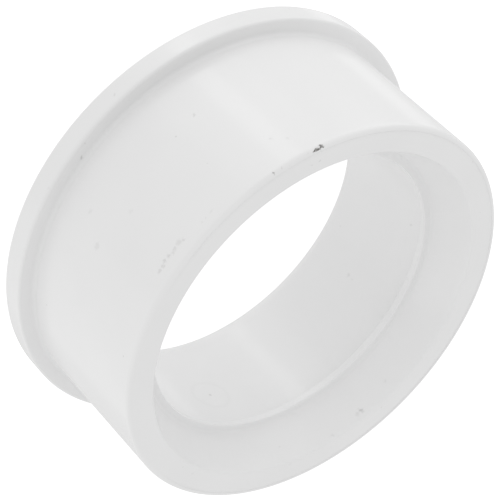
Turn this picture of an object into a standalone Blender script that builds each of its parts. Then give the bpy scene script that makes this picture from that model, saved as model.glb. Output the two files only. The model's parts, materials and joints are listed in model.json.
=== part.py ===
"""Toilet flange: a rigid white PVC collar, moulded in one piece.

The barrel slips into nominal 4 inch drain pipe under a toilet, and the rim around its rear end
stops against the pipe's mouth. A socket for nominal 3 inch pipe runs in from the rear face as far
as a thin stop ring. In front of the ring the inside flares out to a wider mouth.

Frame: metres, +Z along the collar's axis towards the front lip. The origin is the centre of the
rear face, which is the face that the collar stands on.
"""
from math import acos, atan2, cos, pi, radians, sin, tan

import bpy
from mathutils import Vector

MM = 0.001

# Pipe sizes that the collar is made for
BARREL_DIAMETER = 114.3 * MM      # the outside of nominal 4 inch pipe
SOCKET_DIAMETER = 89.3 * MM       # takes the 88.9 mm outside of nominal 3 inch pipe
SOCKET_DEPTH = 37.4 * MM          # rear face to stop ring
STOP_DIAMETER = 84.6 * MM
STOP_THICKNESS = 2.0 * MM

# Overall shape
LENGTH = 50.8 * MM
RIM_DIAMETER = 123.4 * MM
RIM_WIDTH = 6.5 * MM
LIP_WALL = 7.5 * MM               # barrel to mouth, at the front lip
STOP_LAND = 2.2 * MM              # the stop ring's bare front face, inside the foot of the flare
SOCKET_DRAFT = 0.3 * MM           # the socket widens by this much from stop ring to rear face

# Edge roundings
LIP_OUTER_ROUND = 1.2 * MM
MOUTH_ROUND = 1.5 * MM
FLARE_FOOT_FILLET = 1.0 * MM
RIM_ROOT_FILLET = 1.2 * MM
RIM_FRONT_ROUND = 0.8 * MM
RIM_REAR_ROUND = 0.5 * MM
SOCKET_MOUTH_ROUND = 3.4 * MM
SOCKET_BOTTOM_FILLET = 0.4 * MM
STOP_EDGE_ROUND = 0.5 * MM

# Fineness
TURN_STEPS = 96
ARC_STEP = radians(30.0)          # largest turn between two points of a rounding
SHARP_EDGE = radians(35.0)
MERGE_DISTANCE = 0.01 * MM


def clear_scene():
    for obj in list(bpy.data.objects):
        bpy.data.objects.remove(obj, do_unlink=True)


def new_collection(name):
    collection = bpy.data.collections.new(name)
    bpy.context.scene.collection.children.link(collection)
    return collection


def white_pvc():
    material = bpy.data.materials.new("white_pvc")
    material.use_nodes = True
    shader = material.node_tree.nodes["Principled BSDF"]
    shader.inputs["Base Color"].default_value = (0.80, 0.80, 0.80, 1.0)
    shader.inputs["Roughness"].default_value = 0.38
    shader.inputs["Metallic"].default_value = 0.0
    return material


def rounded_corner(before, corner, after, radius):
    """The points of an arc that rounds one corner of an outline."""
    back = (before - corner).normalized()
    ahead = (after - corner).normalized()
    opening = acos(back.dot(ahead))
    reach = radius / tan(opening / 2)
    centre = corner + (back + ahead).normalized() * radius / sin(opening / 2)
    first = corner + back * reach - centre
    last = corner + ahead * reach - centre
    turn = pi - opening
    steps = max(1, round(turn / ARC_STEP))
    side = 1.0 if first.cross(last) > 0 else -1.0
    start = atan2(first.y, first.x)
    points = []
    for step in range(steps + 1):
        angle = start + side * turn * step / steps
        points.append(centre + radius * Vector((cos(angle), sin(angle))))
    return points


def rounded_outline(corners):
    """Round each (radius, height, rounding) corner of a closed outline."""
    places = [Vector((across, height)) for across, height, _ in corners]
    outline = []
    for index, (_, _, rounding) in enumerate(corners):
        before = places[index - 1]
        after = places[(index + 1) % len(places)]
        outline += rounded_corner(before, places[index], after, rounding)
    return outline


def turned(name, outline, collection, material):
    """Turn a closed outline of (radius, height) points about Z into one solid."""
    count = len(outline)
    mesh = bpy.data.meshes.new(name)
    verts = [(point.x, 0.0, point.y) for point in outline]
    edges = [(index, (index + 1) % count) for index in range(count)]
    mesh.from_pydata(verts, edges, [])
    obj = bpy.data.objects.new(name, mesh)
    collection.objects.link(obj)

    screw = obj.modifiers.new("Turn", "SCREW")
    screw.steps = TURN_STEPS
    screw.render_steps = TURN_STEPS
    screw.use_merge_vertices = True
    screw.merge_threshold = MERGE_DISTANCE

    depsgraph = bpy.context.evaluated_depsgraph_get()
    solid = bpy.data.meshes.new_from_object(obj.evaluated_get(depsgraph))
    obj.modifiers.remove(screw)
    obj.data = solid
    bpy.data.meshes.remove(mesh)
    solid.name = name
    solid.shade_smooth()
    solid.set_sharp_from_angle(angle=SHARP_EDGE)
    solid.materials.append(material)
    return obj


def flange_outline():
    """The wall's section, from the mouth's edge outwards, down the outside and up the inside."""
    barrel = BARREL_DIAMETER / 2
    rim = RIM_DIAMETER / 2
    mouth = barrel - LIP_WALL
    stop = STOP_DIAMETER / 2
    flare_foot = stop + STOP_LAND
    socket_bottom = SOCKET_DIAMETER / 2
    socket_mouth = socket_bottom + SOCKET_DRAFT
    stop_front = SOCKET_DEPTH + STOP_THICKNESS
    return rounded_outline([
        (mouth, LENGTH, MOUTH_ROUND),
        (barrel, LENGTH, LIP_OUTER_ROUND),
        (barrel, RIM_WIDTH, RIM_ROOT_FILLET),
        (rim, RIM_WIDTH, RIM_FRONT_ROUND),
        (rim, 0.0, RIM_REAR_ROUND),
        (socket_mouth, 0.0, SOCKET_MOUTH_ROUND),
        (socket_bottom, SOCKET_DEPTH, SOCKET_BOTTOM_FILLET),
        (stop, SOCKET_DEPTH, STOP_EDGE_ROUND),
        (stop, stop_front, STOP_EDGE_ROUND),
        (flare_foot, stop_front, FLARE_FOOT_FILLET),
    ])


def main():
    clear_scene()
    collection = new_collection("toilet_flange")
    turned("flange_ring", flange_outline(), collection, white_pvc())


main()
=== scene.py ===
"""Looks for the toilet flange: a fine turned ring in satin white PVC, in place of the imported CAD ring.

Everything is in metres in the frame's own axes: the ring stands on its rear face at z = 0, and its
front lip faces +Z. A place on the ring is given by its angle about Z in degrees from +X, its distance
from the axis, and its height.
"""
import json
import random
from math import acos, atan2, ceil, cos, degrees, hypot, pi, radians, sin, tan

import bmesh
import bpy
from mathutils import Matrix, Vector

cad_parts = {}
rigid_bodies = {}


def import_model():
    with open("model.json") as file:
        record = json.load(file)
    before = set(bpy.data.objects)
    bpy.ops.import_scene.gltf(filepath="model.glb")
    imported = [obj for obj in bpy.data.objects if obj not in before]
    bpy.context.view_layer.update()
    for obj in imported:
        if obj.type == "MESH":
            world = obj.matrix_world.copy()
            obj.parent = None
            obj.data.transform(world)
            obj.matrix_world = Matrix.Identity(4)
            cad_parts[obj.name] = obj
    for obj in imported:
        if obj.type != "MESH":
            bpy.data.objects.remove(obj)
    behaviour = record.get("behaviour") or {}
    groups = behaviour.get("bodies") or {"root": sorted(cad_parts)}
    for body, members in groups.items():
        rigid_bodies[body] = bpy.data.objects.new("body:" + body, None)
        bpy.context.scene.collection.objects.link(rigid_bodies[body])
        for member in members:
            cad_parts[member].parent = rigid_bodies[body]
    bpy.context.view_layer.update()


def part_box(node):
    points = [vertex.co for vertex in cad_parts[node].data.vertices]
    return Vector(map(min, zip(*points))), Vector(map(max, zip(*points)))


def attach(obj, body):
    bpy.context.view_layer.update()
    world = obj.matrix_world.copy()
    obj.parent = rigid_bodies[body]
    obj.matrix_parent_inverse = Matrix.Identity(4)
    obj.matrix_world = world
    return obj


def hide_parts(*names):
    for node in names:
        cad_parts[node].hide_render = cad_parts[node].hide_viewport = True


MM = 0.001
MICRON = 1e-6

# Section of the ring inside the CAD ring's box, which gives its length and its rim
BARREL_DIAMETER = 114.3 * MM
SOCKET_DIAMETER = 89.3 * MM
SOCKET_DEPTH = 37.4 * MM
SOCKET_DRAFT = 0.3 * MM
STOP_DIAMETER = 84.6 * MM
STOP_THICKNESS = 2.0 * MM
STOP_LAND = 2.2 * MM
RIM_WIDTH = 6.5 * MM
LIP_WALL = 7.5 * MM

# Roundings
LIP_OUTER_ROUND = 1.2 * MM
MOUTH_ROUND = 1.1 * MM
FLARE_FOOT_FILLET = 1.0 * MM
RIM_ROOT_FILLET = 1.2 * MM
RIM_FRONT_ROUND = 0.8 * MM
RIM_REAR_ROUND = 0.5 * MM
SOCKET_MOUTH_ROUND = 3.4 * MM
SOCKET_BOTTOM_FILLET = 0.4 * MM
STOP_EDGE_ROUND = 0.3 * MM

# Shallow line round the lip, just inside its outer edge. It fades out over one part of the lip.
CREASE_INSET = 1.3 * MM
CREASE_WIDTH = 0.30 * MM
CREASE_DEPTH = 0.10 * MM
CREASE_GAP_MIDDLE = -35.0         # degrees
CREASE_GAP_REACH = 45.0           # degrees each way, to where the line is whole again
CREASE_FADE_START = 0.6           # share of that reach over which the line is gone

# Plastic: colour and roughness each vary between two values
ALBEDO = (0.915, 0.93)
ROUGHNESS = (0.28, 0.34)
PLASTIC_IOR = 1.53
COAT_WEIGHT = 0.5
COAT_ROUGHNESS = 0.13

# Painted shade on part of the ledge beside the rim
LEDGE_INSET = 2.1 * MM            # in from the rim
LEDGE_SHADE = 0.085
LEDGE_SHADE_ANGLE = -108.0        # degrees

# Gate mark in the bore: a pit inside a round line. The line's faint darkening is painted shade of its
# raised edge.
GATE_ANGLE = 38.0                 # degrees
GATE_HEIGHT = 23.7 * MM
GATE_LINE_RADIUS = 5.2 * MM
GATE_PIT_STRENGTH = 0.18
GATE_LINE_PAINTED_SHADE = 0.02

# Handling marks
# Colour of the marks, also used for the painted shade along the gate mark's line
MARK_COLOUR = (0.11, 0.10, 0.09, 1.0)
MARK_ROUGHENING = 0.4
RAGGED_REACH = 1.6 * MM           # how far the outline of a mark wanders
LIP_EDGE_INSET = 0.5 * MM         # where the marks on the lip's rounding lie, in from the barrel

# Heights of the relief
GRAIN_RELIEF = 2.0 * MICRON
RINGS_RELIEF = 1.5 * MICRON
SWELL_RELIEF = 30.0 * MICRON
MARKS_RELIEF = -60.0 * MICRON
GATE_LINE_RELIEF = 25.0 * MICRON

# Fineness
TURN_STEPS = 360
ARC_STEP = radians(7.5)
LONGEST_SPAN = 1.5 * MM

# Camera: level behind the ring's -Y side, raised, then rolled about its own axis
FOCAL_LENGTH = 158.4              # mm, on a 36 mm sensor
CAMERA_DISTANCE = 0.5743
CAMERA_ELEVATION = 37.25          # degrees
CAMERA_ROLL = 134.56              # degrees
AIM = Vector((-0.13, 0.05, 19.76)) * MM

# Lights: name, azimuth and elevation in degrees, side of the square panel in metres, watts
LIGHT_DISTANCE = 1.2
LIGHTS = [
    ("side_panel", 180, -15, 0.9, 0.95),
    ("upper_panel", -165, 25, 0.9, 0.46),
    ("front_panel", -20, 30, 0.9, 0.3),
    ("rear_panel", 0, -12, 1.6, 1.4),
    ("key_panel", -135, -15, 0.9, 0.5),
    ("low_panel", -135, -50, 0.9, 0.7),
    ("streak_strip", -138, -38, 0.2, 0.11),
    ("edge_strip", 136, -37, 0.25, 0.05),
]
AMBIENT = 0.765                   # strength of the even white light from all round


# ---------------------------------------------------------------- section and mesh

def rounded_corner(before, corner, after, radius):
    """The points of an arc that rounds one corner of an outline."""
    if radius == 0:
        return [corner]
    back = (before - corner).normalized()
    ahead = (after - corner).normalized()
    opening = acos(back.dot(ahead))
    reach = radius / tan(opening / 2)
    centre = corner + (back + ahead).normalized() * radius / sin(opening / 2)
    first = corner + back * reach - centre
    last = corner + ahead * reach - centre
    turn = pi - opening
    steps = max(2, ceil(turn / ARC_STEP))
    side = 1.0 if first.cross(last) > 0 else -1.0
    start = atan2(first.y, first.x)
    points = []
    for step in range(steps + 1):
        angle = start + side * turn * step / steps
        points.append(centre + radius * Vector((cos(angle), sin(angle))))
    return points


def rounded_outline(corners):
    """Round each (radius, height, rounding) corner of a closed outline."""
    places = [Vector((across, height)) for across, height, _ in corners]
    outline = []
    for index, (_, _, rounding) in enumerate(corners):
        before = places[index - 1]
        after = places[(index + 1) % len(places)]
        outline += rounded_corner(before, places[index], after, rounding)
    return outline


def finely_spaced(outline):
    """Split the outline's long runs, so that smooth shading stays true beside the roundings."""
    points = []
    for index, point in enumerate(outline):
        after = outline[(index + 1) % len(outline)]
        spans = max(1, ceil((after - point).length / LONGEST_SPAN))
        for span in range(spans):
            points.append(point.lerp(after, span / spans))
    return points


def turned(name, outline):
    """Turn a closed outline of (radius, height) points about Z into one mesh object."""
    count = len(outline)
    verts = []
    faces = []
    for step in range(TURN_STEPS):
        angle = 2 * pi * step / TURN_STEPS
        verts += [(point.x * cos(angle), point.x * sin(angle), point.y) for point in outline]
        here = step * count
        ahead = (step + 1) % TURN_STEPS * count
        for index in range(count):
            after = (index + 1) % count
            faces.append((here + index, here + after, ahead + after, ahead + index))
    mesh = bpy.data.meshes.new(name)
    mesh.from_pydata(verts, [], faces)
    mesh.shade_smooth()
    obj = bpy.data.objects.new(name, mesh)
    bpy.context.scene.collection.objects.link(obj)
    return obj


def flange_outline(rim, length):
    """The wall's section, from the mouth's edge outwards, down the outside and up the inside."""
    barrel = BARREL_DIAMETER / 2
    crease = barrel - CREASE_INSET
    mouth = barrel - LIP_WALL
    stop = STOP_DIAMETER / 2
    flare_foot = stop + STOP_LAND
    socket_bottom = SOCKET_DIAMETER / 2
    socket_mouth = socket_bottom + SOCKET_DRAFT
    stop_front = SOCKET_DEPTH + STOP_THICKNESS
    return rounded_outline([
        (mouth, length, MOUTH_ROUND),
        (crease - CREASE_WIDTH, length, 0),
        (crease - CREASE_WIDTH / 2, length - CREASE_DEPTH, 0),
        (crease, length, 0),
        (barrel, length, LIP_OUTER_ROUND),
        (barrel, RIM_WIDTH, RIM_ROOT_FILLET),
        (rim, RIM_WIDTH, RIM_FRONT_ROUND),
        (rim, 0.0, RIM_REAR_ROUND),
        (socket_mouth, 0.0, SOCKET_MOUTH_ROUND),
        (socket_bottom, SOCKET_DEPTH, SOCKET_BOTTOM_FILLET),
        (stop, SOCKET_DEPTH, STOP_EDGE_ROUND),
        (stop, stop_front, STOP_EDGE_ROUND),
        (flare_foot, stop_front, FLARE_FOOT_FILLET),
    ])


def fade_crease(mesh, length):
    """Fill the lip's line in again over the gap in it."""
    line = BARREL_DIAMETER / 2 - CREASE_INSET - CREASE_WIDTH / 2
    for vert in mesh.vertices:
        if abs(hypot(vert.co.x, vert.co.y) - line) > CREASE_WIDTH / 4 or vert.co.z < length / 2:
            continue
        turn = degrees(atan2(vert.co.y, vert.co.x)) - CREASE_GAP_MIDDLE
        away = abs((turn + 180) % 360 - 180) / CREASE_GAP_REACH
        share = min(1.0, max(0.0, (away - CREASE_FADE_START) / (1 - CREASE_FADE_START)))
        vert.co.z = length - CREASE_DEPTH * share


# ---------------------------------------------------------------- marks of handling

def place(angle, radius, height):
    """The point at an angle in degrees, a distance from the axis, and a height."""
    a = radians(angle)
    return Vector((radius * cos(a), radius * sin(a), height))


def row_of_marks(first, last, radius, height, width, strength, count, seed):
    """Uneven dots along one arc, as (centre, width, strength)."""
    chance = random.Random(seed)
    marks = []
    for index in range(count):
        angle = first + (last - first) * (index + chance.uniform(-0.25, 0.25)) / (count - 1)
        lift = chance.uniform(-0.3, 0.3) * width
        size = width * chance.uniform(0.7, 1.3)
        darkness = strength * chance.uniform(0.6, 1.2)
        marks.append((place(angle, radius, height + lift), size, darkness))
    return marks


def handling_marks(rim, length):
    """Every scuff and nick that shows, as (centre, width, strength)."""
    barrel = BARREL_DIAMETER / 2
    bore = SOCKET_DIAMETER / 2
    lip = barrel - LIP_EDGE_INSET
    marks = []
    # A dark rub on the lip's outer edge, and fainter ones beside it
    marks += row_of_marks(-121.2, -118.8, lip, length - 0.3 * MM, 0.8 * MM, 1.0, 9, seed=3)
    marks += row_of_marks(-117.0, -106.8, lip, length - 0.5 * MM, 0.55 * MM, 0.22, 5, seed=5)
    # A broken scrape round the barrel, a little behind the lip
    marks += row_of_marks(-90.0, -86.5, barrel, 47.5 * MM, 1.1 * MM, 0.10, 3, seed=7)
    marks += row_of_marks(-80.7, -71.3, barrel, 46.3 * MM, 1.4 * MM, 0.15, 8, seed=8)
    # Nicks on the mouth's edge
    marks += row_of_marks(-120.0, -115.5, 53.0 * MM, length, 0.6 * MM, 0.16, 3, seed=11)
    # Single nicks: angle, radius, height, width, strength
    singles = [
        (-107.0, lip, length - 0.6 * MM, 1.0 * MM, 0.5),
        (-104.0, barrel, 21.3 * MM, 1.0 * MM, 0.16),
        (-113.0, barrel, 41.0 * MM, 1.1 * MM, 0.10),
        (-116.0, barrel, 43.5 * MM, 1.2 * MM, 0.07),
        (-76.5, barrel, 28.5 * MM, 1.5 * MM, 0.05),
        (-69.0, barrel, 17.5 * MM, 1.5 * MM, 0.07),
        (-64.0, barrel, 25.0 * MM, 2.0 * MM, 0.09),
        (-77.5, 58.4 * MM, RIM_WIDTH, 0.9 * MM, 0.30),
        (-81.0, 60.5 * MM, RIM_WIDTH, 0.7 * MM, 0.15),
        (-93.5, rim, 4.0 * MM, 0.8 * MM, 0.16),
        (-67.5, rim, 5.8 * MM, 0.8 * MM, 0.14),
        (-145.0, rim, 1.7 * MM, 0.9 * MM, 0.07),
        (78.5, 48.7 * MM, 48.6 * MM, 1.5 * MM, 0.28),
        (77.0, 48.7 * MM, 48.8 * MM, 1.4 * MM, 0.12),
        (66.0, 49.1 * MM, 49.5 * MM, 1.2 * MM, 0.08),
        (90.5, 48.1 * MM, 47.3 * MM, 1.1 * MM, 0.09),
        (49.0, 50.4 * MM, 50.6 * MM, 0.8 * MM, 0.10),
        (105.0, 54.5 * MM, length, 0.8 * MM, 0.09),
        (25.0, 55.2 * MM, length, 0.7 * MM, 0.10),
        (9.0, 51.5 * MM, length, 0.8 * MM, 0.06),
        (108.5, bore, 18.0 * MM, 1.2 * MM, 0.10),
        (108.5, bore, 20.0 * MM, 1.0 * MM, 0.07),
        (142.0, bore, 31.5 * MM, 1.0 * MM, 0.12),
    ]
    for angle, radius, height, width, strength in singles:
        marks.append((place(angle, radius, height), width, strength))
    return marks


# ---------------------------------------------------------------- material

def add_node(tree, kind, settings=None, inputs=None):
    """Add a node, set its properties, and set or link its inputs."""
    made = tree.nodes.new(kind)
    for name, value in (settings or {}).items():
        setattr(made, name, value)
    for key, value in (inputs or {}).items():
        if isinstance(value, bpy.types.NodeSocket):
            tree.links.new(value, made.inputs[key])
        else:
            made.inputs[key].default_value = value
    return made


def maths(tree, operation, first, second=0.0):
    made = add_node(tree, "ShaderNodeMath", {"operation": operation}, {0: first, 1: second})
    return made.outputs[0]


def vector_maths(tree, operation, first, second, output=0):
    made = add_node(tree, "ShaderNodeVectorMath", {"operation": operation}, {0: first, 1: second})
    return made.outputs[output]


def ramp(tree, value, low, high, at_low, at_high):
    """Map a value smoothly from low..high to at_low..at_high."""
    made = add_node(
        tree, "ShaderNodeMapRange", {"interpolation_type": "SMOOTHSTEP"},
        {"Value": value, "From Min": low, "From Max": high, "To Min": at_low, "To Max": at_high})
    return made.outputs["Result"]


def noise(tree, vector, scale, detail, roughness=0.5):
    made = add_node(
        tree, "ShaderNodeTexNoise", None,
        {"Vector": vector, "Scale": scale, "Detail": detail, "Roughness": roughness})
    return made.outputs["Fac"]


def distance_to(tree, vector, point):
    return vector_maths(tree, "DISTANCE", vector, point, "Value")


def marks_mask(tree, coords, marks):
    """The strongest of all the handling marks at each place, with ragged outlines."""
    raggedness = add_node(tree, "ShaderNodeTexNoise", None, {"Vector": coords, "Scale": 1500.0})
    shift = vector_maths(tree, "SUBTRACT", raggedness.outputs["Color"], (0.5, 0.5, 0.5))
    shift = vector_maths(tree, "MULTIPLY", shift, (RAGGED_REACH,) * 3)
    ragged = vector_maths(tree, "ADD", coords, shift)
    mask = None
    for centre, width, strength in marks:
        near = distance_to(tree, ragged, centre)
        dot = ramp(tree, near, 0.15 * width, 0.62 * width, strength, 0.0)
        mask = dot if mask is None else maths(tree, "MAXIMUM", mask, dot)
    return mask


def specks_mask(tree, coords):
    """Fine dark specks at random, of uneven strength."""
    cells = add_node(tree, "ShaderNodeTexVoronoi", None, {"Vector": coords, "Scale": 150.0})
    chance = add_node(tree, "ShaderNodeSeparateColor", None, {"Color": cells.outputs["Color"]})
    dot = ramp(tree, cells.outputs["Distance"], 0.02, 0.055, 1.0, 0.0)
    strength = ramp(tree, chance.outputs["Red"], 0.3, 1.0, 0.0, 0.16)
    return maths(tree, "MULTIPLY", dot, strength)


def section_place(tree, coords):
    """The distance from the axis and the height of each place, as a vector in the XY plane."""
    parts = add_node(tree, "ShaderNodeSeparateXYZ", None, {"Vector": coords})
    flat = add_node(
        tree, "ShaderNodeCombineXYZ", None, {"X": parts.outputs["X"], "Y": parts.outputs["Y"]})
    across = vector_maths(tree, "LENGTH", flat.outputs["Vector"], (0.0, 0.0, 0.0), "Value")
    made = add_node(tree, "ShaderNodeCombineXYZ", None, {"X": across, "Y": parts.outputs["Z"]})
    return made.outputs["Vector"]


def gate_mark(tree, coords):
    """The masks of the gate mark's pit and of the faint round line about it."""
    centre = place(GATE_ANGLE, SOCKET_DIAMETER / 2 + 0.1 * MM, GATE_HEIGHT)
    near = distance_to(tree, coords, centre)
    off_line = maths(tree, "ABSOLUTE", maths(tree, "SUBTRACT", near, GATE_LINE_RADIUS))
    pit = ramp(tree, near, 0.15 * MM, 0.6 * MM, 1.0, 0.0)
    line = ramp(tree, off_line, 0.0, 1.0 * MM, 1.0, 0.0)
    return pit, line


def satin_pvc(rim, length):
    """White PVC as it leaves the mould: satin, faintly mottled, with tool rings, specks and scuffs."""
    material = bpy.data.materials.new("satin_white_pvc")
    material.use_nodes = True
    tree = material.node_tree
    shader = tree.nodes["Principled BSDF"]
    coords = add_node(tree, "ShaderNodeTexCoord").outputs["Object"]
    section = section_place(tree, coords)

    # Plastic: mottled, with painted shade darkening part of the ledge beside the rim
    cloud = ramp(tree, noise(tree, coords, 38.0, 3.0), 0.3, 0.7, *ALBEDO)
    ledge_radius = rim - LEDGE_INSET
    off_ledge = distance_to(tree, section, (ledge_radius, RIM_WIDTH, 0.0))
    off_shade_patch = distance_to(tree, coords, place(LEDGE_SHADE_ANGLE, ledge_radius, RIM_WIDTH))
    ledge = ramp(tree, off_ledge, 1.2 * MM, 2.8 * MM, 1.0, 0.0)
    shade_patch = ramp(tree, off_shade_patch, 10.0 * MM, 60.0 * MM, LEDGE_SHADE, 0.0)
    # painted shade: the plastic's tone is multiplied down over that part of the ledge
    unshaded = maths(tree, "SUBTRACT", 1.0, maths(tree, "MULTIPLY", ledge, shade_patch))
    tone = maths(tree, "MULTIPLY", cloud, unshaded)
    plastic = add_node(
        tree, "ShaderNodeCombineColor", None, {"Red": tone, "Green": tone, "Blue": tone})

    # Marks: scuffs and nicks, specks, the gate mark's pit, and painted shade along the gate mark's line
    pit, line = gate_mark(tree, coords)
    dirt_and_shade = marks_mask(tree, coords, handling_marks(rim, length))
    dirt_and_shade = maths(tree, "MAXIMUM", dirt_and_shade, specks_mask(tree, coords))
    dirt_and_shade = maths(tree, "MAXIMUM", dirt_and_shade, maths(tree, "MULTIPLY", pit, GATE_PIT_STRENGTH))
    # painted shade: a faint darkening along the gate mark's round line
    dirt_and_shade = maths(tree, "MAXIMUM", dirt_and_shade, maths(tree, "MULTIPLY", line, GATE_LINE_PAINTED_SHADE))
    mixed = add_node(
        tree, "ShaderNodeMix", {"data_type": "RGBA"},
        {"Factor": dirt_and_shade, "A": plastic.outputs["Color"], "B": MARK_COLOUR})
    tree.links.new(mixed.outputs["Result"], shader.inputs["Base Color"])

    # Gloss: satin, duller where it is marked
    patches = ramp(tree, noise(tree, coords, 90.0, 4.0), 0.3, 0.7, *ROUGHNESS)
    gloss = maths(tree, "ADD", patches, maths(tree, "MULTIPLY", dirt_and_shade, MARK_ROUGHENING))
    tree.links.new(gloss, shader.inputs["Roughness"])
    shader.inputs["IOR"].default_value = PLASTIC_IOR
    shader.inputs["Coat Weight"].default_value = COAT_WEIGHT
    shader.inputs["Coat Roughness"].default_value = COAT_ROUGHNESS

    # Relief in metres: moulded grain, faint tool rings, a slow swell, marks and the gate mark's line
    relief = maths(tree, "MULTIPLY", noise(tree, coords, 2200.0, 2.0), GRAIN_RELIEF)
    for part, relief_height in (
            (noise(tree, section, 1400.0, 2.0), RINGS_RELIEF),
            (noise(tree, coords, 60.0, 1.0), SWELL_RELIEF),
            (dirt_and_shade, MARKS_RELIEF),
            (line, GATE_LINE_RELIEF)):
        relief = maths(tree, "ADD", relief, maths(tree, "MULTIPLY", part, relief_height))
    bump = add_node(tree, "ShaderNodeBump", None, {"Height": relief, "Strength": 1.0, "Distance": 1.0})
    tree.links.new(bump.outputs["Normal"], shader.inputs["Normal"])
    return material


# ---------------------------------------------------------------- stage, light and camera

def white_table(name):
    material = bpy.data.materials.new(name)
    material.use_nodes = True
    shader = material.node_tree.nodes["Principled BSDF"]
    shader.inputs["Base Color"].default_value = (0.85, 0.85, 0.85, 1.0)
    shader.inputs["Roughness"].default_value = 0.9
    shader.inputs["Specular IOR Level"].default_value = 0.0
    shader.inputs["Emission Color"].default_value = (1.0, 1.0, 1.0, 1.0)
    shader.inputs["Emission Strength"].default_value = 0.5
    return material


def add_floor():
    """A lit white table. The camera sees it, and the light from below passes it."""
    mesh = bpy.data.meshes.new("floor")
    bm = bmesh.new()
    bmesh.ops.create_grid(bm, x_segments=1, y_segments=1, size=3.0)
    bm.to_mesh(mesh)
    bm.free()
    mesh.materials.append(white_table("pale_floor"))
    floor = bpy.data.objects.new("floor", mesh)
    floor.location.z = -0.2 * MM
    floor.visible_diffuse = False
    floor.visible_glossy = False
    floor.visible_shadow = False
    bpy.context.scene.collection.objects.link(floor)


def add_world():
    world = bpy.data.worlds.new("studio")
    world.use_nodes = True
    background = world.node_tree.nodes["Background"]
    background.inputs["Color"].default_value = (1.0, 1.0, 1.0, 1.0)
    background.inputs["Strength"].default_value = AMBIENT
    bpy.context.scene.world = world


def direction(azimuth, elevation):
    """Unit vector towards an azimuth, in degrees from +X, and an elevation."""
    a = radians(azimuth)
    e = radians(elevation)
    return Vector((cos(e) * cos(a), cos(e) * sin(a), sin(e)))


def add_area_light(name, target, azimuth, elevation, distance, size, power):
    data = bpy.data.lights.new(name, "AREA")
    data.shape = "SQUARE"
    data.size = size
    data.energy = power
    light = bpy.data.objects.new(name, data)
    towards = direction(azimuth, elevation)
    light.location = target + towards * distance
    light.rotation_euler = towards.to_track_quat("Z", "Y").to_euler()
    bpy.context.scene.collection.objects.link(light)
    return light


def add_camera(target):
    data = bpy.data.cameras.new("camera")
    data.lens = FOCAL_LENGTH
    data.sensor_width = 36.0
    camera = bpy.data.objects.new("camera", data)
    bpy.context.scene.collection.objects.link(camera)
    tilt = Matrix.Rotation(radians(90 - CAMERA_ELEVATION), 4, "X")
    roll = Matrix.Rotation(radians(CAMERA_ROLL), 4, "Z")
    position = target + direction(-90, CAMERA_ELEVATION) * CAMERA_DISTANCE
    camera.matrix_world = Matrix.Translation(position) @ tilt @ roll
    bpy.context.scene.camera = camera


# ---------------------------------------------------------------- build

# A start-up scene's own objects would count as loose pieces
for leftover in list(bpy.data.objects):
    bpy.data.objects.remove(leftover, do_unlink=True)

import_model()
rim_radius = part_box("flange_ring")[1].x
ring_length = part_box("flange_ring")[1].z

ring = turned("moulded_ring", finely_spaced(flange_outline(rim_radius, ring_length)))
fade_crease(ring.data, ring_length)
ring.data.materials.append(satin_pvc(rim_radius, ring_length))
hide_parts("flange_ring")
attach(ring, "root")

add_floor()
add_world()
middle = Vector((0.0, 0.0, ring_length / 2))
for light_name, azimuth, elevation, size, power in LIGHTS:
    add_area_light(light_name, middle, azimuth, elevation, LIGHT_DISTANCE, size, power)
add_camera(AIM)
bpy.context.scene.view_settings.view_transform = "Standard"
